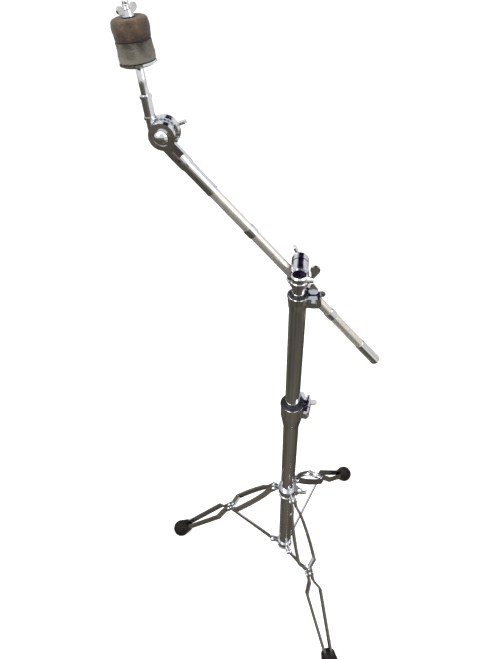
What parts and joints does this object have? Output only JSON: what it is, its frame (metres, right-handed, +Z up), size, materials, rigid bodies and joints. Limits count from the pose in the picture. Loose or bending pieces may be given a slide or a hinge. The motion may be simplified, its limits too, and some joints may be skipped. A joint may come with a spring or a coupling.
{
  "type": "boom cymbal stand",
  "caption": "Folding chrome boom stand for a cymbal: braced tripod, telescoping tubes, tilting boom arm and a toothed tilter holding felts and a threaded rod.",
  "frame": {"origin": "on the floor, under the axis of the main tube", "axes": "+Z up the main tube; the boom lies parallel to the XZ plane and rises toward -X; the camera side is -Y"},
  "size_m": [0.4732, 0.5162, 1.2104],
  "materials": {
    "chrome_steel": "bright chrome plate",
    "cast_chrome": "chrome-plated die casting",
    "black_steel": "black oxide",
    "foot_rubber": "matt moulded rubber",
    "black_nylon": "satin nylon",
    "grey_felt": "pressed wool felt",
    "brown_felt": "pressed wool felt"
  },
  "bodies": {
    "base": {"base_tube": "chrome_steel", "base_tube_plug": "black_nylon", "stay_bracket": "cast_chrome", "bracket_pins": "chrome_steel", "base_clamp": "cast_chrome", "base_clamp_bolt": "chrome_steel", "base_clamp_bush": "black_nylon"},
    "base_clamp_wing_nut": {"base_clamp_wing_nut": "cast_chrome"},
    "stay_1": {"stay_1": "chrome_steel"},
    "leg_1": {"leg_1_left_brace": "chrome_steel", "leg_1_right_brace": "chrome_steel", "leg_1_rivets": "chrome_steel", "leg_1_foot": "foot_rubber"},
    "leg_collar": {"leg_collar": "cast_chrome"},
    "leg_collar_wing_bolt": {"leg_collar_wing_bolt": "cast_chrome"},
    "leg_2": {"leg_2_left_brace": "chrome_steel", "leg_2_right_brace": "chrome_steel", "leg_2_rivets": "chrome_steel", "leg_2_foot": "foot_rubber"},
    "stay_2": {"stay_2": "chrome_steel"},
    "leg_3": {"leg_3_left_brace": "chrome_steel", "leg_3_right_brace": "chrome_steel", "leg_3_rivets": "chrome_steel", "leg_3_foot": "foot_rubber"},
    "stay_3": {"stay_3": "chrome_steel"},
    "middle": {"middle_tube": "chrome_steel", "upper_clamp": "cast_chrome", "upper_clamp_bush": "black_nylon", "upper_clamp_bolt": "chrome_steel"},
    "upper_clamp_wing_nut": {"upper_clamp_wing_nut": "cast_chrome"},
    "upper": {"upper_tube": "chrome_steel"},
    "tilter": {"tilter_base": "cast_chrome", "tilt_stud": "chrome_steel"},
    "swivel_wing_bolt": {"swivel_wing_bolt": "cast_chrome"},
    "holder": {"boom_holder": "cast_chrome", "boom_washer": "chrome_steel"},
    "boom_wing_nut": {"boom_wing_nut": "cast_chrome"},
    "bush": {"boom_bush": "black_nylon"},
    "boom": {"boom_tube": "chrome_steel", "boom_sleeve": "chrome_steel", "boom_stop_rings": "chrome_steel", "boom_end_cap": "chrome_steel", "cymbal_tilter_lower": "cast_chrome", "tilter_set_screw": "black_steel", "tilter_bolt": "chrome_steel"},
    "cymbal_arm": {"cymbal_tilter_upper": "cast_chrome", "cymbal_rod": "chrome_steel", "cup_washer": "chrome_steel", "rod_sleeve": "black_nylon"},
    "tilter_wing_nut": {"tilter_wing_nut": "cast_chrome"},
    "lower_felt": {"lower_felt": "grey_felt"},
    "upper_felt": {"upper_felt": "brown_felt"},
    "cymbal_wing_nut": {"cymbal_wing_nut": "cast_chrome"}
  },
  "joints": [
    {"name": "tripod_fold", "type": "hinge", "parent": "base", "child": "stay_1", "pos_m": [-0.02989, 0.00262, 0.057], "axis": [0.0872, 0.9962, 0], "range_deg": [0, 34]},
    {"name": "leg_1_fold", "type": "hinge", "parent": "stay_1", "child": "leg_1", "pos_m": [-0.13579, 0.01188, 0.186], "axis": [-0.0872, -0.9962, 0], "range_deg": [0, 68]},
    {"name": "collar_pivot", "type": "hinge", "parent": "leg_1", "child": "leg_collar", "pos_m": [-0.02989, 0.00262, 0.315], "axis": [0.0872, 0.9962, 0], "range_deg": [0, 34]},
    {"name": "leg_2_fold", "type": "hinge", "parent": "leg_collar", "child": "leg_2", "pos_m": [0.01268, -0.02719, 0.315], "axis": [0.9063, 0.4226, 0], "range_deg": [0, 34]},
    {"name": "leg_3_fold", "type": "hinge", "parent": "leg_collar", "child": "leg_3", "pos_m": [0.01721, 0.02457, 0.315], "axis": [-0.8192, 0.5736, 0], "range_deg": [0, 34]},
    {"name": "stay_2_fold", "type": "hinge", "parent": "leg_2", "child": "stay_2", "pos_m": [0.05761, -0.12354, 0.186], "axis": [-0.9063, -0.4226, 0], "range_deg": [0, 68]},
    {"name": "stay_3_fold", "type": "hinge", "parent": "leg_3", "child": "stay_3", "pos_m": [0.07819, 0.11166, 0.186], "axis": [0.8192, -0.5736, 0], "range_deg": [0, 68]},
    {"name": "leg_collar_wing_bolt_turn", "type": "hinge", "parent": "leg_collar", "child": "leg_collar_wing_bolt", "pos_m": [0, 0, 0.315], "axis": [0.9962, -0.0872, 0], "continuous": true},
    {"name": "middle_height", "type": "slide", "parent": "base", "child": "middle", "axis": [0, 0, 1], "range_m": [-0.2, 0.17]},
    {"name": "base_clamp_wing_nut_turn", "type": "hinge", "parent": "base", "child": "base_clamp_wing_nut", "pos_m": [0.02476, -0.00348, 0.606], "axis": [0.1392, 0.9903, 0], "continuous": true},
    {"name": "upper_height", "type": "slide", "parent": "middle", "child": "upper", "axis": [0, 0, 1], "range_m": [0, 0.19]},
    {"name": "upper_clamp_wing_nut_turn", "type": "hinge", "parent": "middle", "child": "upper_clamp_wing_nut", "pos_m": [0.0215, 0, 0.854], "axis": [0, 1, 0], "continuous": true},
    {"name": "boom_swivel", "type": "hinge", "parent": "upper", "child": "tilter", "pos_m": [0, 0, 0.885], "axis": [0, 0, 1], "range_deg": [0, 200]},
    {"name": "swivel_wing_bolt_turn", "type": "hinge", "parent": "tilter", "child": "swivel_wing_bolt", "pos_m": [0, 0, 0.889], "axis": [1, 0, 0], "continuous": true},
    {"name": "boom_tilt", "type": "hinge", "parent": "tilter", "child": "holder", "pos_m": [0, 0, 0.885], "axis": [0, 1, 0], "range_deg": [-60, 34]},
    {"name": "boom_wing_nut_turn", "type": "hinge", "parent": "tilter", "child": "boom_wing_nut", "pos_m": [0, 0, 0.885], "axis": [0, 1, 0], "continuous": true},
    {"name": "boom_turn", "type": "hinge", "parent": "holder", "child": "bush", "pos_m": [-0.00041, 0.04, 0.85593], "axis": [-0.6428, 0, 0.766], "continuous": true},
    {"name": "boom_slide", "type": "slide", "parent": "bush", "child": "boom", "axis": [-0.6428, 0, 0.766], "range_m": [-0.084, 0.058]},
    {"name": "cymbal_tilt", "type": "hinge", "parent": "boom", "child": "cymbal_arm", "pos_m": [-0.17349, 0.04, 1.07231], "axis": [0, 1, 0], "range_deg": [-120, 45]},
    {"name": "tilter_wing_nut_turn", "type": "hinge", "parent": "boom", "child": "tilter_wing_nut", "pos_m": [-0.17349, 0.04, 1.07231], "axis": [0, 1, 0], "continuous": true},
    {"name": "lower_felt_lift", "type": "slide", "parent": "cymbal_arm", "child": "lower_felt", "axis": [-0.0628, 0, 0.998], "range_m": [0, 0.08]},
    {"name": "upper_felt_lift", "type": "slide", "parent": "lower_felt", "child": "upper_felt", "axis": [-0.0628, 0, 0.998], "range_m": [0, 0.08]},
    {"name": "cymbal_wing_nut_turn", "type": "hinge", "parent": "upper_felt", "child": "cymbal_wing_nut", "pos_m": [-0.19504, 0.0445, 1.1952], "axis": [-0.0628, 0, 0.998], "continuous": true}
  ],
  "couplings": [
    {"joint": "leg_1_fold", "follows": "tripod_fold", "ratio": 2},
    {"joint": "collar_pivot", "follows": "tripod_fold", "ratio": 1},
    {"joint": "leg_2_fold", "follows": "tripod_fold", "ratio": 1},
    {"joint": "leg_3_fold", "follows": "tripod_fold", "ratio": 1},
    {"joint": "stay_2_fold", "follows": "tripod_fold", "ratio": 2},
    {"joint": "stay_3_fold", "follows": "tripod_fold", "ratio": 2}
  ]
}
